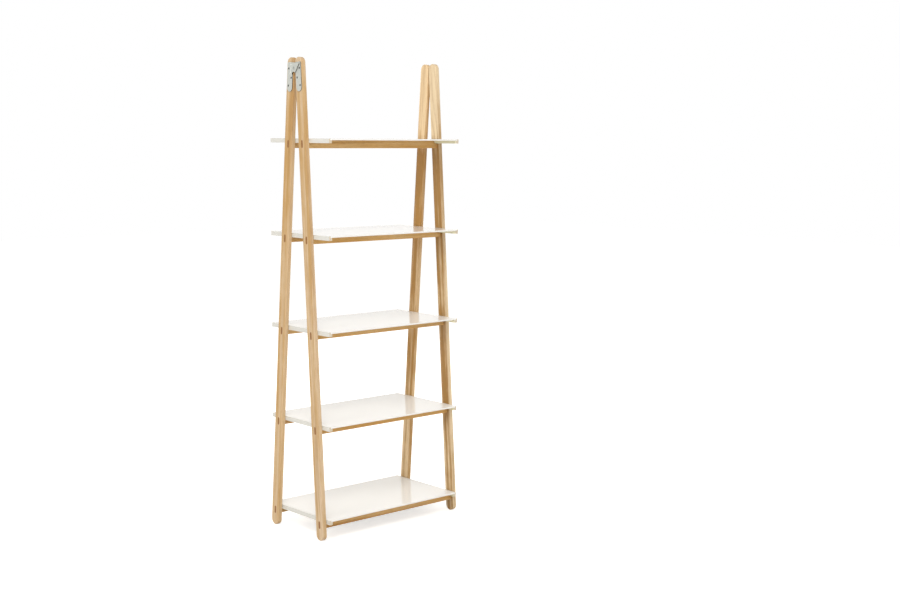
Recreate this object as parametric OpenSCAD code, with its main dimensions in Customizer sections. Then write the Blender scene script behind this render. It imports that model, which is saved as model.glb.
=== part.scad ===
// Folding ladder bookcase: two ash ladders hinged together at the top, and five
// lift-off shelves that drop over their rungs. Millimetres, +Z up, front at -Y.
// The origin is on the floor under the middle of the shelves.

/* [Frame] */
// Height of the leg tops above the floor
overall_height = 1900; // [1850:10:2200]
// Width over the outer faces of the legs
overall_width = 710; // [500:5:1000]
// Angle of each ladder to the vertical when the frame stands open
lean = 4; // [3:0.25:5]
// Depth of the hinge axis below the leg tops
hinge_drop = 43; // [34:1:60]
// Gap between the front and rear legs at the hinge axis
leg_gap = 6; // [4:0.5:12]

/* [Legs] */
// Width of a leg, seen from the side
leg_width = 46; // [42:1:60]
// Thickness of a leg, seen from the front
leg_thickness = 18; // [16:1:30]
// Rounding of the long edges of the legs
leg_edge = 1.5; // [0.5:0.25:3]

/* [Rungs] */
// Height of a rung
rung_height = 32; // [26:1:50]
// Thickness of a rung
rung_thickness = 18; // [14:1:24]
// Rounding of the lower edges of a rung
rung_edge = 1.5; // [0.5:0.25:3]
// Thickness of the through tenons
tenon_thickness = 11; // [7:0.5:14]
// Shoulder above and below a tenon
tenon_shoulder = 0.75; // [0.5:0.25:4]

/* [Shelves] */
// Height of the lowest shelf's top above the floor
lowest_shelf = 85; // [75:5:120]
// Rise from one shelf to the next
shelf_spacing = 375; // [300:5:390]
// Depth of the shelves, front to back
shelf_depth = 390; // [360:5:450]
// Thickness of a shelf board
board_thickness = 6; // [4:0.5:12]
// Rounding of the long edges of a board
board_edge = 0.6; // [0.2:0.1:1.5]
// Height of a cleat below the underside of the board
cleat_drop = 11.5; // [9:0.5:20]
// Width of a cleat
cleat_width = 14; // [10:1:24]
// Width of the ledge in the cleat that the board's end lies on
cleat_ledge = 8; // [5:0.5:9]
// Gap between a shelf's end and the leg beside it
shelf_end_gap = 1.5; // [0.5:0.25:4]
// Clearance of a cleat notch on each side of the rung's top
notch_clearance = 1.5; // [0.5:0.25:3]
// Slope of the notch walls from the vertical
notch_slope = 32; // [28:1:38]

/* [Hinges] */
// Thickness of a hinge plate
plate_thickness = 2.5; // [1.5:0.25:4]
// Width of the plate on each leg
plate_width = 34; // [28:1:36]
// Reach of the plate above the hinge axis
plate_top = 22; // [19.5:0.5:24]
// Reach of the plate below the hinge axis
plate_drop = 92; // [80:1:120]
// Radius of the plate's upper outer corner
plate_corner = 6; // [2:0.5:10]
// Radius of the front plate's eye
eye_radius = 14; // [13:0.5:17]
// Metal between the eye's round and the top of the arch below it
eye_web = 0.5; // [0.25:0.25:3]
// Distance from the hinge axis to the free edge of the rear plate's lap
lap_reach = 18.5; // [17.5:0.5:20]
// Slope of that edge, outwards to the top of the plate
lap_flare = 31; // [24:1:33]
// Rounding of the arch between the two plates
arch_radius = 8; // [4:0.5:9]
// Run of the slope where the rear plate is cranked outwards
crank_run = 6; // [5:0.5:6.5]
// Radius of the rivet's shank
rivet_radius = 2.5; // [2:0.25:2.75]
// Radius of the rivet's domed head
rivet_head_radius = 6; // [4.5:0.25:8]
// Height of the rivet's domed head
rivet_head_height = 2; // [1:0.25:3]

/* [Screws] */
// Radius of a wood screw's shank
screw_radius = 2; // [1.5:0.25:2.5]
// Radius of a wood screw's countersunk head
screw_head_radius = 4.2; // [3.5:0.1:5]
// Length of a wood screw in the wood
screw_length = 14; // [8:1:14]
// Distance of the screws from the plate's long edges
screw_inset = 8.25; // [6:0.25:12]
// Depth of the top screw below the hinge axis
top_screw_drop = 2.5; // [2:0.5:8]
// Depth of the middle screw below the hinge axis
middle_screw_drop = 38; // [36:1:50]
// Height of the bottom screw above the plate's lower end
bottom_screw_rise = 23; // [16:1:26]

/* [Hidden] */
$fn = 48;
LEVELS = [1 : 5];
SIDES = ["left", "right"];
LADDERS = ["front", "rear"];

// Colours
ash = [0.87, 0.72, 0.52];
ash_rung = [0.72, 0.52, 0.34];
laminate = [0.97, 0.97, 0.95];
cleat_white = [0.92, 0.91, 0.87];
zinc = [0.78, 0.79, 0.75];
zinc_dark = [0.6, 0.6, 0.57];

// Clearances in the hinge: round the rivet, between the laps, round the eye and at the crank
running_gap = 0.05;
lap_gap = 0.1;
eye_gap = 0.6;
crank_gap = 1.5;
// How far a cutter passes a face, and the number of facets on the larger rounds
cut = 1;
fine = 96;

// A ladder is drawn flat, with the hinge axis at the origin: across is the distance
// outwards from the axis, square to the legs, and down runs along the legs.
hinge_height = overall_height - hinge_drop;
leg_line = leg_gap / 2 + leg_width / 2;
leg_top = hundredths((hinge_drop - leg_width / 2 - leg_line * sin(lean)) / cos(lean));
leg_foot = hundredths((hinge_height + leg_line * sin(lean) - leg_width / 2) / cos(lean));
leg_face = overall_width / 2;
leg_inner_face = leg_face - leg_thickness;

// Shelves and rungs
shelf_end = leg_inner_face - shelf_end_gap;
board_length = 2 * (shelf_end - cleat_width + cleat_ledge);
tenon_height = rung_height - 2 * tenon_shoulder;
planed_off = rung_thickness / 2 * tan(lean) + cut;

// Hinge: the lap lies a plate and a gap outside the layer next to the legs
plate_near = leg_line - plate_width / 2;
plate_far = leg_line + plate_width / 2;
lap_level = plate_thickness + lap_gap;
lap_face = lap_level + plate_thickness;
crank_start = eye_radius + crank_gap;
crank_shoulder = crank_start + 2;
crank_slope = atan((lap_face - plate_thickness) / crank_run);
crank_margin = 0.5;
arch_top = eye_radius + eye_web;
arch_spring = arch_top + arch_radius;
tail_flare = 1;
dome_flat = 0.1;

// Screws, as places on the plate, and the cross cut in their heads
screw_seat = 0.3;
screw_head_depth = min(plate_thickness - screw_seat, screw_head_radius - screw_radius);
screw_points = [
    [plate_far - screw_inset, -top_screw_drop],
    [plate_near + screw_inset, -middle_screw_drop],
    [plate_far - screw_inset, bottom_screw_rise - plate_drop]
];
cross_width = 0.9;
cross_depth = 1;
cross_length = 1.2 * screw_head_radius;
cross_turn = 20;

// A length to the nearest hundredth, so that round ends and bars meet exactly
function hundredths(length) = round(100 * length) / 100;
function shelf_top(level) = lowest_shelf + (level - 1) * shelf_spacing;
function rung_top(level) = shelf_top(level) - board_thickness;
// Distance down a ladder from the hinge axis to the middle of a rung
function rung_down(level) =
    hundredths((hinge_height + leg_line * sin(lean) - rung_top(level) + rung_height / 2) / cos(lean));
// Distance from the middle of the bookcase to the middle of a rung's planed top
function rung_reach(level) =
    leg_line * cos(lean) + rung_down(level) * sin(lean) - rung_height / 2 * tan(lean);

// Rectangle with round corners, centred on the origin
module soft_rectangle(width, height, radius) {
    square([width - 2 * radius, height], center = true);
    square([width, height - 2 * radius], center = true);
    for (x = [-1, 1], y = [-1, 1])
        translate([x * (width / 2 - radius), y * (height / 2 - radius)])
            circle(radius);
}

// Puts a ladder, drawn as (across, -down, outwards from the middle plane), in its place
module in_ladder(ladder) {
    translate([0, 0, hinge_height])
        mirror([0, ladder == "front" ? 1 : 0, 0])
            rotate([lean, 0, 0])
                rotate([90, 0, 90])
                    children();
}

// Draws a side piece on the right, or mirrors it to the left
module on_side(side) {
    mirror([side == "left" ? 1 : 0, 0, 0])
        children();
}

// Section of a tenon and its mortise, with round ends
module tenon_outline() {
    square([tenon_thickness, tenon_height - tenon_thickness], center = true);
    for (end = [-1, 1])
        translate([0, end * (tenon_height - tenon_thickness) / 2])
            circle(d = tenon_thickness);
}

// The upper half of a round leg end, with the same rounded edges as the leg
module leg_end() {
    rotate_extrude(angle = 180, $fn = fine)
        intersection() {
            soft_rectangle(leg_width, leg_thickness, leg_edge);
            translate([0, -leg_thickness])
                square([leg_width, 2 * leg_thickness]);
        }
}

module leg(ladder, side) {
    color(ash)
        on_side(side)
            in_ladder(ladder)
                difference() {
                    translate([leg_line, 0, leg_inner_face + leg_thickness / 2]) {
                        translate([0, leg_top, 0])
                            leg_end();
                        translate([0, -leg_foot, 0])
                            rotate(180)
                                leg_end();
                        translate([0, leg_top, 0])
                            rotate([90, 0, 0])
                                linear_extrude(leg_top + leg_foot)
                                    soft_rectangle(leg_width, leg_thickness, leg_edge);
                    }
                    for (level = LEVELS)
                        translate([leg_line, -rung_down(level), leg_inner_face - cut])
                            linear_extrude(leg_thickness + 2 * cut)
                                tenon_outline();
                    for (point = screw_points)
                        translate([point[0], point[1], leg_face - screw_length])
                            cylinder(h = screw_length + cut, r = screw_radius);
                }
}

// A rung with its two through tenons, its top planed level to carry the shelf
module rung(ladder, level) {
    color(ash_rung)
        difference() {
            in_ladder(ladder)
                translate([leg_line, -rung_down(level), 0]) {
                    linear_extrude(2 * leg_inner_face, center = true)
                        translate([0, planed_off / 2])
                            soft_rectangle(rung_thickness, rung_height + planed_off, rung_edge);
                    linear_extrude(2 * leg_face, center = true)
                        tenon_outline();
                }
            translate([-overall_width, -shelf_depth, rung_top(level)])
                cube([2 * overall_width, 2 * shelf_depth, rung_height]);
        }
}

module shelf_board(level) {
    color(laminate)
        translate([0, 0, rung_top(level) + board_thickness / 2])
            rotate([90, 0, 90])
                linear_extrude(board_length, center = true)
                    soft_rectangle(shelf_depth, board_thickness, board_edge);
}

// Flared notch that drops over a rung, open at the bottom of the cleat
module notch() {
    half_top = rung_thickness / 2 / cos(lean) + notch_clearance;
    half_mouth = half_top + (cleat_drop + cut) * tan(notch_slope);
    polygon([
        [-half_top, 0], [half_top, 0],
        [half_mouth, -cleat_drop - cut], [-half_mouth, -cleat_drop - cut]
    ]);
}

// End cleat of a shelf, rebated for the board's end and notched over both rungs
module shelf_cleat(level, side) {
    color(cleat_white)
        on_side(side)
            translate([shelf_end - cleat_width, 0, rung_top(level)])
                difference() {
                    rotate([90, 0, 90])
                        linear_extrude(cleat_width)
                            difference() {
                                translate([-shelf_depth / 2, -cleat_drop])
                                    square([shelf_depth, cleat_drop + board_thickness]);
                                for (end = [-1, 1])
                                    translate([end * rung_reach(level), 0])
                                        notch();
                            }
                    translate([-cut, -shelf_depth, 0])
                        cube([cleat_ledge + cut, 2 * shelf_depth, board_thickness + cut]);
                }
}

// Outline of the plate that lies on a leg
module plate_outline() {
    round_end = plate_width / 2;
    translate([plate_near, round_end - plate_drop])
        square([plate_width, plate_drop + plate_top - round_end - plate_corner]);
    translate([leg_line, round_end - plate_drop])
        circle(round_end);
    translate([plate_near, plate_top - plate_corner - cut])
        square([plate_width - plate_corner, plate_corner + cut]);
    translate([plate_far - plate_corner, plate_top - plate_corner])
        circle(plate_corner);
}

// Rounded corner of the arch, between the web and the plate's inner edge
module arch_corner() {
    translate([plate_near - arch_radius, -arch_spring])
        difference() {
            square(arch_radius);
            circle(arch_radius);
        }
}

// The whole arch in the rear plate, from its own corner to the front plate's
module arch_hole() {
    own = [plate_near - arch_radius, -arch_spring];
    other = [
        own[1] * sin(2 * lean) - own[0] * cos(2 * lean),
        own[1] * cos(2 * lean) + own[0] * sin(2 * lean)
    ];
    run = own - other;
    crown = arch_radius * [-run[1], run[0]] / norm(run);
    for (middle = [own, other])
        translate(middle)
            circle(arch_radius);
    polygon([other, other + crown, own + crown, own, own - [0, cut], other - [0, cut]]);
}

// Outline of the front plate's eye round the rivet, and the web that joins it to the plate
module eye_outline() {
    circle(eye_radius, $fn = fine);
    translate([0, -arch_top])
        square([leg_line, arch_top + eye_radius]);
    arch_corner();
}

// Outline of the rear plate's lap, from its sloping free edge to the crank
module lap_outline() {
    top_end = (lap_reach + plate_top * sin(lap_flare)) / cos(lap_flare);
    low_end = (lap_reach - arch_spring * sin(lap_flare)) / cos(lap_flare);
    difference() {
        polygon([
            [crank_shoulder, plate_top], [-top_end, plate_top],
            [-low_end, -arch_spring], [crank_shoulder, -arch_spring]
        ]);
        arch_hole();
    }
}

// Solid part of the rear plate's crank, which slopes down to the plate beside and below the lap
module crank() {
    difference() {
        linear_extrude(lap_face)
            difference() {
                union() {
                    translate([plate_near, -arch_spring - crank_run - crank_margin])
                        square([
                            crank_shoulder + crank_run + crank_margin - plate_near,
                            arch_spring + crank_run + crank_margin + plate_top
                        ]);
                    arch_corner();
                }
                circle(crank_start, $fn = fine);
            }
        translate([crank_shoulder, -plate_drop, lap_face])
            rotate([0, crank_slope, 0])
                cube([2 * plate_width, 2 * plate_drop, plate_width]);
        translate([-plate_width, -arch_spring, lap_face])
            rotate([crank_slope, 0, 0])
                translate([0, -plate_drop, 0])
                    cube([3 * plate_width, plate_drop, plate_width]);
    }
}

// Countersunk screw with its head face at the origin, pointing down
module screw_shape() {
    translate([0, 0, -screw_head_depth])
        cylinder(h = screw_head_depth, r1 = screw_radius, r2 = screw_head_radius);
    translate([0, 0, -plate_thickness - screw_length])
        cylinder(h = plate_thickness + screw_length, r = screw_radius);
}

// Puts the child at each screw's place, in the outer face of the plate
module at_screws() {
    for (point = screw_points)
        translate([point[0], point[1], plate_thickness])
            children();
}

// Flat front plate: its eye lies next to the legs and turns on the rivet
module front_plate() {
    difference() {
        linear_extrude(plate_thickness) {
            plate_outline();
            eye_outline();
        }
        translate([0, 0, -cut])
            cylinder(h = plate_thickness + 2 * cut, r = rivet_radius + running_gap);
        cylinder(h = tail_flare, r1 = rivet_radius + tail_flare + running_gap,
            r2 = rivet_radius + running_gap);
    }
}

// Rear plate, cranked outwards so that its eye laps over the front plate's
module rear_plate() {
    difference() {
        union() {
            linear_extrude(plate_thickness)
                difference() {
                    union() {
                        plate_outline();
                        arch_corner();
                    }
                    circle(eye_radius + eye_gap, $fn = fine);
                }
            translate([0, 0, lap_level])
                linear_extrude(plate_thickness)
                    lap_outline();
            crank();
        }
        translate([0, 0, lap_level - cut])
            cylinder(h = plate_thickness + 2 * cut, r = rivet_radius);
    }
}

module hinge_plate(ladder, side) {
    color(zinc)
        on_side(side)
            in_ladder(ladder)
                translate([0, 0, leg_face])
                    difference() {
                        if (ladder == "front")
                            front_plate();
                        else
                            rear_plate();
                        at_screws()
                            screw_shape();
                    }
}

module hinge_screws(ladder, side) {
    color(zinc_dark)
        on_side(side)
            in_ladder(ladder)
                translate([0, 0, leg_face])
                    at_screws()
                        difference() {
                            screw_shape();
                            for (arm = [0, 90])
                                rotate(arm + cross_turn)
                                    translate([-cross_length / 2, -cross_width / 2, -cross_depth])
                                        cube([cross_length, cross_width, cross_depth + cut]);
                        }
}

// Rivet with a flared tail in the front plate and a flat-topped dome outside the lap
module hinge_rivet(side) {
    dome_height = rivet_head_height + dome_flat;
    dome = (pow(rivet_head_radius, 2) + pow(dome_height, 2)) / (2 * dome_height);
    color(zinc_dark)
        on_side(side)
            translate([leg_face, 0, hinge_height])
                rotate([0, 90, 0])
                    rotate_extrude($fn = fine) {
                        square([rivet_radius, lap_face + cut]);
                        polygon([
                            [0, 0], [rivet_radius + tail_flare, 0],
                            [rivet_radius, tail_flare], [0, tail_flare]
                        ]);
                        intersection() {
                            translate([0, lap_face + dome_height - dome])
                                circle(dome);
                            translate([0, lap_face])
                                square([rivet_head_radius + cut, rivet_head_height]);
                        }
                    }
}

for (ladder = LADDERS, side = SIDES) {
    leg(ladder, side);
    hinge_plate(ladder, side);
    hinge_screws(ladder, side);
}
for (ladder = LADDERS, level = LEVELS)
    rung(ladder, level);
for (level = LEVELS) {
    shelf_board(level);
    for (side = SIDES)
        shelf_cleat(level, side);
}
for (side = SIDES)
    hinge_rivet(side);
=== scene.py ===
import math

import bmesh
import bpy
from mathutils import Matrix, Vector


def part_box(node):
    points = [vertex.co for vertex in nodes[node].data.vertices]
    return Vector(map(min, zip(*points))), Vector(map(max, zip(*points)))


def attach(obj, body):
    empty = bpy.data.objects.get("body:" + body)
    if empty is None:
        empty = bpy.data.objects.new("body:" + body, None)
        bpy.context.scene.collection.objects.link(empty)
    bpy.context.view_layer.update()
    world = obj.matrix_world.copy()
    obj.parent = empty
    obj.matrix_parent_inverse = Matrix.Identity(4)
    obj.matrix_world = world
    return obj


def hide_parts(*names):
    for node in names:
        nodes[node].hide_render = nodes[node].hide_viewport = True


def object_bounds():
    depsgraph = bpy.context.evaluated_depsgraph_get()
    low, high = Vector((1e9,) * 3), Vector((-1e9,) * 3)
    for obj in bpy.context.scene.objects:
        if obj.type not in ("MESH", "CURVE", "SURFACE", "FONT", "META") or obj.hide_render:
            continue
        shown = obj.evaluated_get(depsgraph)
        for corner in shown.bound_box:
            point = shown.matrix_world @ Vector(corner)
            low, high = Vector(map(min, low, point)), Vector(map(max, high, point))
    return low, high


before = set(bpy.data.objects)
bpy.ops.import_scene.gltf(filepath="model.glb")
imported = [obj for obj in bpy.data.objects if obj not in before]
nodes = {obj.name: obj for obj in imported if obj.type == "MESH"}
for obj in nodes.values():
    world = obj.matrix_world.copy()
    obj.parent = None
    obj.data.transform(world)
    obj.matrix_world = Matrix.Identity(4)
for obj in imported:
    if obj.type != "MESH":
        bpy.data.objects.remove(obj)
cad_box = [list(corner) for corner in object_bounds()]

# The studio. A pale floor runs out to a white sky. The main softbox hangs high in front and
# to the left, and weaker ones overhead and all round keep the shadows soft. The camera
# stands in front of the bookcase and to its left, a little below its top.

WHITE = (1, 1, 1, 1)
FLOOR_SIZE = 30.0
FLOOR_COLOUR = (0.82, 0.81, 0.795, 1)
# Near the bookcase the floor glows less: painted shade that deepens the shadow round its foot.
FLOOR_GLOW_NEAR_PAINTED_SHADE = 0.56
FLOOR_GLOW_FAR = 0.68
GLOW_START = 0.5
GLOW_END = 2.2
SKY_LIGHT = 0.46
SKY_COLOUR = (1.0, 0.97, 0.93, 1)
CAMERA_PLACE = (-3.486, -4.378, 1.596)
CAMERA_TURN = math.radians(42.10)
CAMERA_TILT = math.radians(-6.25)
CAMERA_ROLL = math.radians(0.41)
CAMERA_LENS = 54.25
CAMERA_SENSOR = 36.0
CAMERA_SHIFT = -0.0165
CAMERA_REACH = 100.0

# Each softbox: its place, the point it is turned to, its width and height, and its power in watts.
SOFTBOXES = {
    "softbox_main": ((-2.9, -3.1, 4.6), (0.0, 0.0, 1.0), (2.4, 2.0), 122),
    "softbox_overhead": ((-0.3, -0.6, 5.2), (0.0, 0.0, 1.0), (3.5, 3.5), 15),
    "softbox_left": ((-4.2, -0.8, 2.7), (0.0, 0.0, 0.9), (2.0, 2.6), 46),
    "softbox_front": ((-1.2, -4.8, 2.1), (0.0, 0.0, 0.9), (2.6, 2.4), 46),
    "softbox_right": ((4.0, 2.6, 3.2), (0.0, 0.0, 0.9), (2.6, 2.4), 50),
    "softbox_behind": ((0.4, 4.8, 2.4), (0.0, 0.0, 0.7), (3.0, 2.0), 95),
}


def set_inputs(tree, node, inputs):
    """Sets a node's inputs to plain values, or links them to other sockets, by name or number."""
    for name, value in inputs.items():
        socket = node.inputs[name]
        if isinstance(value, bpy.types.NodeSocket):
            tree.links.new(value, socket)
        else:
            socket.default_value = value


def add_node(tree, kind, inputs=None, **settings):
    """Adds a shader node with its settings, and then its inputs."""
    node = tree.nodes.new(kind)
    for name, value in settings.items():
        setattr(node, name, value)
    set_inputs(tree, node, inputs or {})
    return node


def maths(tree, operation, first, second=0.0, third=0.0, clamp=False):
    """One Math node on numbers or sockets; gives its output."""
    return add_node(tree, "ShaderNodeMath", {0: first, 1: second, 2: third},
                    operation=operation, use_clamp=clamp).outputs[0]


def vector_maths(tree, operation, *vectors):
    """One Vector Math node on vectors or sockets; gives its output."""
    node = add_node(tree, "ShaderNodeVectorMath", dict(enumerate(vectors)), operation=operation)
    return node.outputs["Value" if operation == "LENGTH" else "Vector"]


def mix_colours(tree, share, first, second):
    """The first colour, with a share of the second; inputs 6 and 7 are the Mix node's two colours."""
    return add_node(tree, "ShaderNodeMix", {0: share, 6: first, 7: second}, data_type="RGBA").outputs[2]


def seen_directly(tree):
    """1 for rays from the camera, a reflection or a refraction, and 0 for light that the stage gives."""
    path = add_node(tree, "ShaderNodeLightPath").outputs
    either = maths(tree, "MAXIMUM", path["Is Camera Ray"], path["Is Glossy Ray"])
    return maths(tree, "MAXIMUM", either, path["Is Transmission Ray"])


def new_object(name, shape, material):
    """Makes an object in one material from a bmesh, which it frees."""
    mesh = bpy.data.meshes.new(name)
    shape.to_mesh(mesh)
    shape.free()
    mesh.materials.append(material)
    holder = bpy.data.objects.new(name, mesh)
    bpy.context.scene.collection.objects.link(holder)
    return holder


def make_floor():
    """A matt floor that glows where it is seen directly, less near the bookcase as painted shade round its
    foot, and keeps its shadow.
    """
    material = bpy.data.materials.new("studio_floor")
    material.use_nodes = True
    tree = material.node_tree
    tree.nodes.clear()
    matt = add_node(tree, "ShaderNodeBsdfDiffuse", {"Color": FLOOR_COLOUR})
    place = add_node(tree, "ShaderNodeTexCoord").outputs["Object"]
    level = add_node(tree, "ShaderNodeMapRange", {
        "Value": vector_maths(tree, "LENGTH", place), "From Min": GLOW_START, "From Max": GLOW_END,
        "To Min": FLOOR_GLOW_NEAR_PAINTED_SHADE, "To Max": FLOOR_GLOW_FAR,
    }, interpolation_type="SMOOTHSTEP").outputs["Result"]
    glow = maths(tree, "MULTIPLY", seen_directly(tree), level)
    white = add_node(tree, "ShaderNodeEmission", {"Color": WHITE, "Strength": glow})
    both = add_node(tree, "ShaderNodeAddShader", {0: matt.outputs[0], 1: white.outputs[0]})
    add_node(tree, "ShaderNodeOutputMaterial", {"Surface": both.outputs[0]})
    shape = bmesh.new()
    bmesh.ops.create_grid(shape, x_segments=1, y_segments=1, size=FLOOR_SIZE / 2)
    floor = new_object("floor", shape, material)


def make_sky():
    """A sky that looks white, and lights the bookcase with a softer, warmer level."""
    world = bpy.data.worlds.new("studio")
    world.use_nodes = True
    tree = world.node_tree
    tree.nodes.clear()
    seen = seen_directly(tree)
    strength = maths(tree, "MULTIPLY_ADD", seen, 1 - SKY_LIGHT, SKY_LIGHT)
    colour = mix_colours(tree, seen, SKY_COLOUR, WHITE)
    sky = add_node(tree, "ShaderNodeBackground", {"Color": colour, "Strength": strength})
    add_node(tree, "ShaderNodeOutputWorld", {"Surface": sky.outputs[0]})
    bpy.context.scene.world = world


def add_softbox(name, place, aim, size, power):
    lamp = bpy.data.lights.new(name, "AREA")
    lamp.shape = "RECTANGLE"
    lamp.size, lamp.size_y = size
    lamp.energy = power
    holder = bpy.data.objects.new(name, lamp)
    bpy.context.scene.collection.objects.link(holder)
    holder.location = place
    holder.rotation_euler = (Vector(aim) - Vector(place)).to_track_quat("-Z", "Y").to_euler()


def add_camera():
    """The camera, turned to the right, tipped down and rolled a little."""
    camera = bpy.data.cameras.new("camera")
    camera.lens = CAMERA_LENS
    camera.sensor_width = CAMERA_SENSOR
    camera.shift_y = CAMERA_SHIFT
    camera.clip_end = CAMERA_REACH
    holder = bpy.data.objects.new("camera", camera)
    bpy.context.scene.collection.objects.link(holder)
    holder.matrix_world = (Matrix.Translation(CAMERA_PLACE)
                           @ Matrix.Rotation(-CAMERA_TURN, 4, "Z")
                           @ Matrix.Rotation(math.pi / 2 + CAMERA_TILT, 4, "X")
                           @ Matrix.Rotation(CAMERA_ROLL, 4, "Z"))
    bpy.context.scene.camera = holder


make_floor()
make_sky()
for name, (place, aim, size, power) in SOFTBOXES.items():
    add_softbox(name, place, aim, size, power)
add_camera()

# The ladders' legs. Four planed ash boards with rounded ends, two to a ladder, under a clear
# matt lacquer, leaning together at the hinges. Growth rings show as long lines on their faces,
# with open pores in the early wood, and the end grain drinks more lacquer and goes darker.

LEAN = math.radians(4)
LADDER_TURNS = {"front": LEAN, "rear": -LEAN}
LEG_TOP = cad_box[1][2]
LEG_END_SHARE = 0.45
LEG_BROWN = (0.34, 0.175, 0.06, 1)
# The left legs' tones are the wood's own. The right legs' golden tones are darkened as painted shade
# inside the bays, and their cream tones lightened as painted light.
LEG_TONES_AND_PAINTED_SHADE = {
    "front_left": ((0.69, 0.52, 0.33, 1), (0.545, 0.34, 0.135, 1), LEG_BROWN),
    "rear_left": ((0.67, 0.485, 0.28, 1), (0.53, 0.31, 0.10, 1), LEG_BROWN),
    "front_right": ((0.83, 0.66, 0.42, 1), (0.36, 0.19, 0.045, 1), LEG_BROWN),
    "rear_right": ((0.87, 0.65, 0.38, 1), (0.45, 0.23, 0.05, 1), LEG_BROWN),
}

# A tint of 1 makes the wood all golden, and one of -1 makes it all cream. These tints are painted light
# and shade, set for how light falls on each face. The narrow edges at front and back share one. On the
# wide face that looks left it changes with the height, given in metres before it: painted shade, golden
# where the shelves shade it, and painted light, cream above the top shelf. On the other wide face it is
# even. A face looks left where the X of its normal is under the limit.
LEG_EDGE_PAINTED_SHADE = {"front_left": -0.1, "rear_left": -0.4, "front_right": -0.5, "rear_right": -0.1}
LEG_LEFT_FACE_PAINTED_SHADE = {
    "front_left": ((0.12, -0.4), (0.27, 0.0), (0.55, 0.2), (0.92, 0.0), (1.15, 0.3), (1.7, 0.2),
                   (1.88, -0.35)),
    "rear_left": ((0.1, -0.15), (0.5, -0.05), (1.1, -0.1), (1.6, 0.15), (1.8, 0.1), (1.88, -0.5)),
    "front_right": ((0.15, 0.2), (0.34, -0.25), (0.55, 0.3), (0.95, 0.4), (1.2, 0.8), (1.5, 0.8),
                    (1.64, -0.9)),
    "rear_right": ((0.4, -0.5), (0.65, 0.25), (0.9, 0.0), (1.07, 0.15), (1.35, 0.6), (1.5, 0.7),
                   (1.64, -0.9)),
}
LEG_RIGHT_FACE_TINT = -0.5
LEFT_FACE_LIMIT = 0.1

# The noises in the figure of ash: how often each changes in a metre across and along the grain,
# its detail and its seed.
HEART_NOISE = (5.0, 0.8, 2.0, 3.0)
DRIFT_NOISE = (9.0, 0.7, 1.0, 41.0)
STREAK_NOISE = (52.0, 1.7, 2.0, 11.0)
CLOUD_NOISE = (34.0, 11.0, 2.0, 17.0)
FIBRE_NOISE = (480.0, 9.0, 3.0, 23.0)
PORE_NOISE = (1700.0, 45.0, 1.0, 31.0)
HEARTWOOD_NOISE = (30.0, 0.9, 2.0, 53.0)
NOISE_ROUGHNESS = 0.55

# What the noises do. A pair is a factor and what is added after it. Stops are places on a ramp
# with the grey at each.
LOG_CENTRE = (0.11, 0.07, 0.0)
HEART_WANDER = (0.05, 0.05, 0.0)
RING_WIDTH = 0.0042
RING_STOPS = ((0.0, 0.85), (0.16, 1.0), (0.34, 0.2), (0.8, 0.0), (1.0, 0.45))
PORE_STOPS = ((0.0, 0.0), (0.56, 0.0), (0.66, 1.0), (1.0, 1.0))
HEARTWOOD_STOPS = ((0.0, 0.0), (0.53, 0.0), (0.68, 0.34), (1.0, 0.34))
GOLDEN_STREAKS = (3.2, -1.1)
GOLDEN_CLOUDS = (1.2, -0.6)
GOLDEN_DRIFT = (0.8, -0.4)
BROWN_FIBRES = (0.42, -0.18)
BROWN_RINGS = 0.20
BROWN_PORES = 0.45
LINES_ON_END_GRAIN = 0.3
END_GRAIN_STREAKS = 0.45
END_GRAIN_RINGS = -0.3
FIBRE_HEIGHT = 0.35
ASH_ROUGHNESS = (0.08, 0.42)
ASH_SHINE = 0.38
ASH_BUMP = (0.25, 0.0004)


def component(tree, vector, axis):
    """The part of a vector along X, Y or Z."""
    return add_node(tree, "ShaderNodeSeparateXYZ", {0: vector}).outputs[axis]


def stretched_noise(tree, place, across, along, detail, seed):
    """Noise stretched along the grain, which changes so often in a metre across it and along it."""
    stretched = vector_maths(tree, "MULTIPLY", place, (across, across, along))
    moved = vector_maths(tree, "ADD", stretched, (seed, seed, seed))
    return add_node(tree, "ShaderNodeTexNoise", {
        "Vector": moved, "Scale": 1.0, "Detail": detail, "Roughness": NOISE_ROUGHNESS,
    }).outputs


def grey_stops(tree, factor, stops):
    """A ramp through the greys at the given places; gives its output."""
    ramp = add_node(tree, "ShaderNodeValToRGB", {0: factor})
    elements = ramp.color_ramp.elements
    while len(elements) < len(stops):
        elements.new(0.5)
    for element, (place, grey) in zip(elements, stops):
        element.position = place
        element.color = (grey, grey, grey, 1)
    return ramp.outputs["Color"]


def bumped(tree, height, strength, distance):
    """A normal that follows the height, which stands for a distance in metres."""
    return add_node(tree, "ShaderNodeBump", {
        "Height": height, "Strength": strength, "Distance": distance,
    }).outputs[0]


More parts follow.
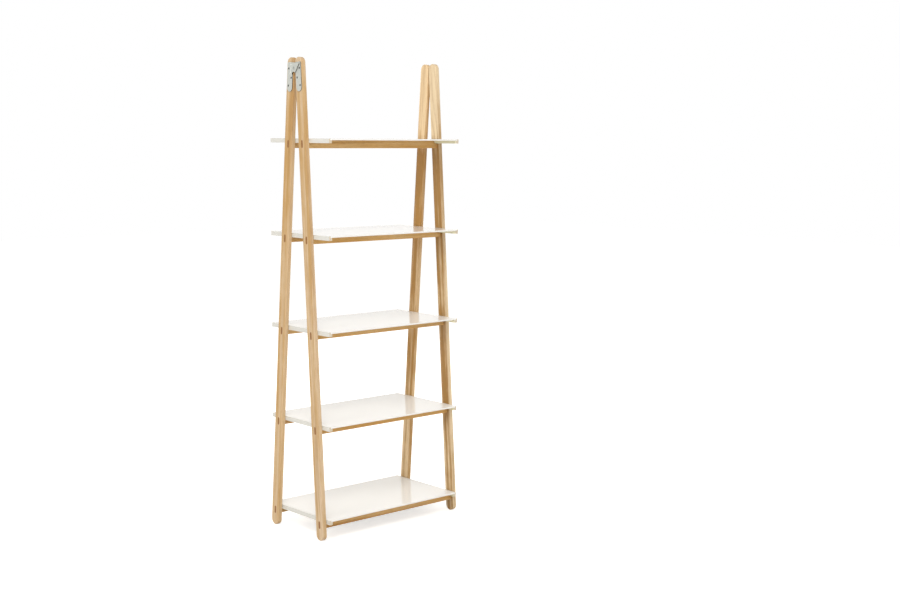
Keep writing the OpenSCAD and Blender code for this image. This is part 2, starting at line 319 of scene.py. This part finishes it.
def make_ash_figure():
    """The figure of ash: growth rings round a wandering heart, golden streaks, brown lines and open
    pores on the faces, and darker rings on the end grain. The grain runs along Z."""
    group = bpy.data.node_groups.new("ash_figure", "ShaderNodeTree")
    for name, kind in (("Place", "Vector"), ("End Grain", "Float"), ("Tint", "Float"),
                       ("Cream", "Color"), ("Golden", "Color"), ("Brown", "Color")):
        group.interface.new_socket(name, in_out="INPUT", socket_type=f"NodeSocket{kind}")
    for name, kind in (("Colour", "Color"), ("Roughness", "Float"), ("Height", "Float")):
        group.interface.new_socket(name, in_out="OUTPUT", socket_type=f"NodeSocket{kind}")
    inlet = add_node(group, "NodeGroupInput").outputs
    place = inlet["Place"]

    wander = stretched_noise(group, place, *HEART_NOISE)["Color"]
    heart = vector_maths(group, "MULTIPLY_ADD", wander, HEART_WANDER, LOG_CENTRE)
    from_heart = vector_maths(group, "ADD", place, heart)
    radius = vector_maths(group, "LENGTH", vector_maths(group, "MULTIPLY", from_heart, (1, 1, 0)))
    ring = maths(group, "FRACT", maths(group, "DIVIDE", radius, RING_WIDTH))
    early_wood = grey_stops(group, ring, RING_STOPS)

    drift = stretched_noise(group, place, *DRIFT_NOISE)["Fac"]
    streak = stretched_noise(group, place, *STREAK_NOISE)["Fac"]
    cloud = stretched_noise(group, place, *CLOUD_NOISE)["Fac"]
    streaks_and_clouds = maths(group, "ADD", maths(group, "MULTIPLY_ADD", streak, *GOLDEN_STREAKS),
                               maths(group, "MULTIPLY_ADD", cloud, *GOLDEN_CLOUDS))
    drift_and_tint = maths(group, "ADD", maths(group, "MULTIPLY_ADD", drift, *GOLDEN_DRIFT), inlet["Tint"])
    golden_share = maths(group, "ADD", streaks_and_clouds, drift_and_tint, clamp=True)
    wood = mix_colours(group, golden_share, inlet["Cream"], inlet["Golden"])

    fibre = stretched_noise(group, place, *FIBRE_NOISE)["Fac"]
    heartwood = grey_stops(group, stretched_noise(group, place, *HEARTWOOD_NOISE)["Fac"], HEARTWOOD_STOPS)
    veins = maths(group, "ADD", maths(group, "MULTIPLY_ADD", fibre, *BROWN_FIBRES), heartwood)
    lines = maths(group, "MULTIPLY_ADD", early_wood, BROWN_RINGS, veins, clamp=True)
    pores = grey_stops(group, stretched_noise(group, place, *PORE_NOISE)["Fac"], PORE_STOPS)
    open_pores = maths(group, "MULTIPLY", pores, maths(group, "MULTIPLY", early_wood, BROWN_PORES))
    lines_and_pores = maths(group, "ADD", lines, open_pores, clamp=True)
    on_face = maths(group, "SUBTRACT", 1.0, inlet["End Grain"], clamp=True)
    line_share = maths(group, "MULTIPLY_ADD", on_face, 1 - LINES_ON_END_GRAIN, LINES_ON_END_GRAIN)
    brown_share = maths(group, "MULTIPLY", lines_and_pores, line_share)
    face_colour = mix_colours(group, brown_share, wood, inlet["Brown"])

    end_streaks = maths(group, "MULTIPLY", streak, END_GRAIN_STREAKS)
    late_wood = maths(group, "MULTIPLY_ADD", early_wood, END_GRAIN_RINGS, end_streaks)
    end_colour = mix_colours(group, late_wood, inlet["Brown"], inlet["Golden"])
    colour = mix_colours(group, inlet["End Grain"], face_colour, end_colour)

    roughness = maths(group, "MULTIPLY_ADD", golden_share, *ASH_ROUGHNESS)
    height = maths(group, "SUBTRACT", maths(group, "MULTIPLY", fibre, FIBRE_HEIGHT), open_pores)
    add_node(group, "NodeGroupOutput", {"Colour": colour, "Roughness": roughness, "Height": height})
    return group


ash_figure = make_ash_figure()


def figured_ash(tree, place, end_grain, tint, tones):
    """Puts the figure of ash in a material, in its cream, golden and brown; gives its outputs."""
    cream, golden, brown = tones
    return add_node(tree, "ShaderNodeGroup", {
        "Place": place, "End Grain": end_grain, "Tint": tint,
        "Cream": cream, "Golden": golden, "Brown": brown,
    }, node_tree=ash_figure).outputs


def new_material(name):
    """A material with a Principled BSDF wired to its output; gives the material and the shader."""
    material = bpy.data.materials.new(name)
    material.use_nodes = True
    tree = material.node_tree
    tree.nodes.clear()
    shader = add_node(tree, "ShaderNodeBsdfPrincipled")
    add_node(tree, "ShaderNodeOutputMaterial", {"Surface": shader.outputs[0]})
    return material, shader


def wide_face_painted_shade(tree, coordinates, left_face_painted_shade):
    """The painted light and shade on a leg's two wide faces, as a tint. The ramp holds tints from -1 to 1
    as greys from 0 to 1.
    """
    stops = [(height / LEG_TOP, (1 + tint) / 2) for height, tint in left_face_painted_shade]
    height_share = maths(tree, "DIVIDE", component(tree, coordinates["Object"], "Z"), LEG_TOP)
    left_tint = maths(tree, "MULTIPLY_ADD", grey_stops(tree, height_share, stops), 2.0, -1.0)
    looks_left = maths(tree, "LESS_THAN", component(tree, coordinates["Normal"], "X"), LEFT_FACE_LIMIT)
    difference = maths(tree, "SUBTRACT", left_tint, LEG_RIGHT_FACE_TINT)
    return maths(tree, "MULTIPLY_ADD", looks_left, difference, LEG_RIGHT_FACE_TINT)


def ash_material(name, turn, tones, end_share, edge_painted_shade=0.0, left_face_painted_shade=()):
    """Lacquered ash whose grain runs along Z once the piece's own coordinates are turned by turn.
    End_share is how much of its end grain's darker colour shows. The edge and left-face tints are painted
    light and shade on the narrow and on the wide faces."""
    material, shader = new_material(name)
    tree = material.node_tree
    coordinates = add_node(tree, "ShaderNodeTexCoord").outputs
    place = add_node(tree, "ShaderNodeMapping", {"Vector": coordinates["Object"], "Rotation": turn})
    facing = add_node(tree, "ShaderNodeMapping", {"Vector": coordinates["Normal"], "Rotation": turn},
                      vector_type="NORMAL")
    along_grain = maths(tree, "ABSOLUTE", component(tree, facing.outputs[0], "Z"))
    end_grain = maths(tree, "MULTIPLY", maths(tree, "POWER", along_grain, 2.0), end_share)
    to_front_or_back = maths(tree, "ABSOLUTE", component(tree, coordinates["Normal"], "Y"))
    on_edge = maths(tree, "POWER", to_front_or_back, 2.0)
    # Painted light and shade: a tint on the narrow edges, and one by height on the wide face that looks
    # left.
    tint = maths(tree, "MULTIPLY", on_edge, edge_painted_shade)
    if left_face_painted_shade:
        face_tint = wide_face_painted_shade(tree, coordinates, left_face_painted_shade)
        tint = maths(tree, "MULTIPLY_ADD", maths(tree, "SUBTRACT", 1.0, on_edge), face_tint, tint)
    figure = figured_ash(tree, place.outputs[0], end_grain, tint, tones)
    set_inputs(tree, shader, {
        "Base Color": figure["Colour"],
        "Roughness": figure["Roughness"],
        "Specular IOR Level": ASH_SHINE,
        "Normal": bumped(tree, figure["Height"], *ASH_BUMP),
    })
    return material


def dress(names, material):
    """Gives CAD pieces a material in place of the one they came with."""
    for name in names:
        mesh = nodes[name].data
        mesh.materials.clear()
        mesh.materials.append(material)


for board, tones in LEG_TONES_AND_PAINTED_SHADE.items():
    turn = LADDER_TURNS[board.split("_")[0]]
    leg_ash = ash_material(f"ash_leg_{board}", (turn, 0, 0), tones, LEG_END_SHARE,
                           LEG_EDGE_PAINTED_SHADE[board], LEG_LEFT_FACE_PAINTED_SHADE[board])
    dress([f"leg_{board}"], leg_ash)

# The rungs. Five ash rails to a ladder, planed level on top, whose tenons pass through the
# legs and are glued there. Their end grain shows dark in the legs' outer faces.

LEVELS = range(1, 6)
RUNG_TURN = (0, math.pi / 2, 0)
# The rungs' tones are browner and more orange than the legs': partly their own wood, partly painted shade
# from the shelves above them.
RUNG_TONES_AND_PAINTED_SHADE = ((0.73, 0.475, 0.20, 1), (0.64, 0.35, 0.09, 1), (0.185, 0.060, 0.008, 1))
TENON_END_SHARE = 0.95

rung_ash = ash_material("ash_rung", RUNG_TURN, RUNG_TONES_AND_PAINTED_SHADE, TENON_END_SHARE)
dress([f"rung_{ladder}_{level}" for ladder in LADDER_TURNS for level in LEVELS], rung_ash)

# The shelf boards. Thin sheets faced with white gloss laminate, which mirror the legs at a
# low angle, with a faint ripple and a few wiped marks in the gloss. Their ends lie in the
# cleats' rebates.

LAMINATE_WHITE = (0.90, 0.89, 0.86, 1)
LAMINATE_WARM = (0.87, 0.855, 0.815, 1)
LAMINATE_SHINE = 0.3
LAMINATE_CLOUD_NOISE = (5.0, 2.0)
LAMINATE_WIPE_NOISE = (38.0, 3.0)
LAMINATE_RIPPLE_NOISE = (420.0, 1.0)
LAMINATE_ROUGHNESS = (0.06, 0.07)
LAMINATE_BUMP = (0.04, 0.0002)


def even_noise(tree, place, scale, detail):
    """Noise that is the same in all directions, and changes scale times in a metre."""
    return add_node(tree, "ShaderNodeTexNoise", {
        "Vector": place, "Scale": scale, "Detail": detail,
    }).outputs["Fac"]


def laminate_material(name):
    material, shader = new_material(name)
    tree = material.node_tree
    place = add_node(tree, "ShaderNodeTexCoord").outputs["Object"]
    clouds = even_noise(tree, place, *LAMINATE_CLOUD_NOISE)
    wipes = even_noise(tree, place, *LAMINATE_WIPE_NOISE)
    ripple = even_noise(tree, place, *LAMINATE_RIPPLE_NOISE)
    set_inputs(tree, shader, {
        "Base Color": mix_colours(tree, clouds, LAMINATE_WHITE, LAMINATE_WARM),
        "Roughness": maths(tree, "MULTIPLY_ADD", wipes, *LAMINATE_ROUGHNESS),
        "Specular IOR Level": LAMINATE_SHINE,
        "Normal": bumped(tree, ripple, *LAMINATE_BUMP),
    })
    return material


dress([f"shelf_board_{level}" for level in LEVELS], laminate_material("white_laminate"))

# The shelf cleats. Wood strips under the ends of each shelf, lacquered white, and left bare on their sawn
# ends.
# Their inner faces are yellowed as painted light: warm light bounced into their shade.
# Notches from below drop over the rungs.

SIDES = ("left", "right")
CLEAT_TURN = (math.pi / 2, 0, 0)
CLEAT_WHITE = (0.74, 0.73, 0.685, 1)
CLEAT_DULL = (0.67, 0.66, 0.60, 1)
CLEAT_INNER_BOUNCE_LIGHT = (0.81, 0.78, 0.56, 1)
CLEAT_BRUSH_NOISE = (260.0, 7.0, 2.0, 5.0)
CLEAT_ROUGHNESS = 0.34
CLEAT_BUMP = (0.12, 0.0003)
SAWN_TONES = ((0.79, 0.73, 0.61, 1), (0.71, 0.62, 0.48, 1), (0.46, 0.34, 0.20, 1))
SAWN_END_SHARE = 0.2
SAWN_END_DEPTH = 0.002
SAWN_FACING = (3.0, -2.0)
SAWN_ROUGHER = 0.3

# On an inner face, X of the place and of the normal have opposite signs. The cleats lie a third
# of a metre from the middle, so this factor takes their product there past 1.
INNER_FACE_FACTOR = -3.5


def cleat_material(name, shelf_end):
    """White lacquer brushed along the cleat, yellowed on the inner faces as painted bounce light, and bare
    ash on the ends, shelf_end from the middle.
    """
    material, shader = new_material(name)
    tree = material.node_tree
    coordinates = add_node(tree, "ShaderNodeTexCoord").outputs
    place, normal = coordinates["Object"], coordinates["Normal"]
    along = add_node(tree, "ShaderNodeMapping", {"Vector": place, "Rotation": CLEAT_TURN}).outputs[0]
    brushed = stretched_noise(tree, along, *CLEAT_BRUSH_NOISE)["Fac"]
    outwards = maths(tree, "MULTIPLY", component(tree, place, "X"), component(tree, normal, "X"))
    inner_face = maths(tree, "MULTIPLY", outwards, INNER_FACE_FACTOR, clamp=True)
    outer_lacquer = mix_colours(tree, brushed, CLEAT_WHITE, CLEAT_DULL)
    # Painted light: the inner faces take a warm yellow for light bounced into their shade.
    lacquer = mix_colours(tree, inner_face, outer_lacquer, CLEAT_INNER_BOUNCE_LIGHT)

    bare_ash = figured_ash(tree, along, SAWN_END_SHARE, 0.0, SAWN_TONES)
    from_middle = maths(tree, "ABSOLUTE", component(tree, place, "Y"))
    at_end = maths(tree, "GREATER_THAN", from_middle, shelf_end - SAWN_END_DEPTH)
    to_front_or_back = maths(tree, "ABSOLUTE", component(tree, normal, "Y"))
    end_facing = maths(tree, "MULTIPLY_ADD", to_front_or_back, *SAWN_FACING, clamp=True)
    sawn = maths(tree, "MULTIPLY", at_end, end_facing)
    set_inputs(tree, shader, {
        "Base Color": mix_colours(tree, sawn, lacquer, bare_ash["Colour"]),
        "Roughness": maths(tree, "MULTIPLY_ADD", sawn, SAWN_ROUGHER, CLEAT_ROUGHNESS),
        "Normal": bumped(tree, brushed, *CLEAT_BUMP),
    })
    return material


shelf_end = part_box("shelf_cleat_1_left")[1].y
dress([f"shelf_cleat_{level}_{side}" for level in LEVELS for side in SIDES],
      cleat_material("white_cleat", shelf_end))

# The hinge plates. Pressed steel with a satin zinc coat, slightly clouded, screwed to the
# legs. The press leaves their edges a little rounded. Their sides are darkened: partly dull sheared steel,
# partly painted shade and a painted dark reflection along the edges.

ZINC_TONES = ((0.45, 0.465, 0.43, 1), (0.60, 0.61, 0.56, 1))
ZINC_SHEARED_AND_SHADE = (0.085, 0.07, 0.05, 1)
ZINC_METAL = 0.85
ZINC_CLOUD_NOISE = (140.0, 3.0)
ZINC_SCUFF_NOISE = (900.0, 60.0, 2.0, 7.0)
ZINC_SHEARED_AND_SHADE_SIDE = (-2.0, 1.4)
ZINC_BUMP = (0.15, 0.0002)
CLOUDS_ROUGHER = 0.2
PLATE_ROUGHNESS = 0.42
PRESSED_EDGE = 0.0004
PRESSED_EDGE_STEPS = 2
SHARP_EDGE = math.radians(35)
FLAT_EDGE = math.radians(1)
SAME_POINT = 0.00001
HINGE_BODIES = {"front": "front_ladder", "rear": "rear_ladder"}


def zinc_material(name, tones, roughness):
    """Zinc-coated steel, clouded between two tones, and darkened on its sides: dull sheared steel with
    painted shade and a painted dark reflection.
    """
    material, shader = new_material(name)
    tree = material.node_tree
    coordinates = add_node(tree, "ShaderNodeTexCoord").outputs
    clouded = even_noise(tree, coordinates["Object"], *ZINC_CLOUD_NOISE)
    scuffs = stretched_noise(tree, coordinates["Object"], *ZINC_SCUFF_NOISE)["Fac"]
    flat_side = maths(tree, "ABSOLUTE", component(tree, coordinates["Normal"], "X"))
    # Faces that do not look along X are darkened: partly sheared steel, partly painted shade and dark
    # reflection.
    sheared_and_shade = maths(tree, "MULTIPLY_ADD", flat_side, *ZINC_SHEARED_AND_SHADE_SIDE, clamp=True)
    set_inputs(tree, shader, {
        "Base Color": mix_colours(tree, sheared_and_shade, mix_colours(tree, clouded, *tones), ZINC_SHEARED_AND_SHADE),
        "Metallic": ZINC_METAL,
        "Roughness": maths(tree, "MULTIPLY_ADD", clouded, CLOUDS_ROUGHER, roughness),
        "Normal": bumped(tree, scuffs, *ZINC_BUMP),
    })
    return material


def round_sharp_edges(shape):
    """Merges a copy of a CAD mesh into plain faces, and rounds its sharp edges."""
    bmesh.ops.remove_doubles(shape, verts=shape.verts, dist=SAME_POINT)
    bmesh.ops.dissolve_limit(shape, angle_limit=FLAT_EDGE, verts=shape.verts, edges=shape.edges)
    sharp = [edge for edge in shape.edges if edge.is_manifold and edge.calc_face_angle() > SHARP_EDGE]
    bmesh.ops.bevel(shape, geom=sharp, offset=PRESSED_EDGE, offset_type="OFFSET", affect="EDGES",
                    segments=PRESSED_EDGE_STEPS, profile=0.5, material=-1, clamp_overlap=True)


zinc = zinc_material("zinc_plate", ZINC_TONES, PLATE_ROUGHNESS)
for ladder, body in HINGE_BODIES.items():
    for side in SIDES:
        node = f"hinge_plate_{ladder}_{side}"
        shape = bmesh.new()
        shape.from_mesh(nodes[node].data)
        round_sharp_edges(shape)
        plate = new_object(f"pressed_plate_{ladder}_{side}", shape, zinc)
        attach(plate, body)
        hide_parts(node)

# The screws and rivets. The countersunk screws are burnished steel, darker than the plates.
# The rivets join each pair of plates; their heads are zinc-coated too, a little duller.

RIVET_TONES = ((0.27, 0.28, 0.26, 1), (0.37, 0.38, 0.35, 1))
RIVET_ROUGHNESS = 0.5
STEEL_DARK = (0.035, 0.035, 0.03, 1)
STEEL_LIGHT = (0.11, 0.11, 0.10, 1)
STEEL_METAL = 0.9
STEEL_TARNISH_NOISE = (300.0, 2.0)
STEEL_ROUGHNESS = (0.15, 0.32)


def screw_material(name):
    """Burnished steel with a light tarnish."""
    material, shader = new_material(name)
    tree = material.node_tree
    place = add_node(tree, "ShaderNodeTexCoord").outputs["Object"]
    tarnish = even_noise(tree, place, *STEEL_TARNISH_NOISE)
    set_inputs(tree, shader, {
        "Base Color": mix_colours(tree, tarnish, STEEL_DARK, STEEL_LIGHT),
        "Metallic": STEEL_METAL,
        "Roughness": maths(tree, "MULTIPLY_ADD", tarnish, *STEEL_ROUGHNESS),
    })
    return material


dress([f"hinge_screws_{ladder}_{side}" for ladder in LADDER_TURNS for side in SIDES],
      screw_material("screw_steel"))
# The rivets' sides take the same painted shade and dark reflection as the plates' sides.
dress([f"hinge_rivet_{side}" for side in SIDES], zinc_material("rivet_zinc", RIVET_TONES, RIVET_ROUGHNESS))

# The finish of the whole scene. Colours are shown as they are written.

bpy.context.scene.view_settings.view_transform = "Standard"
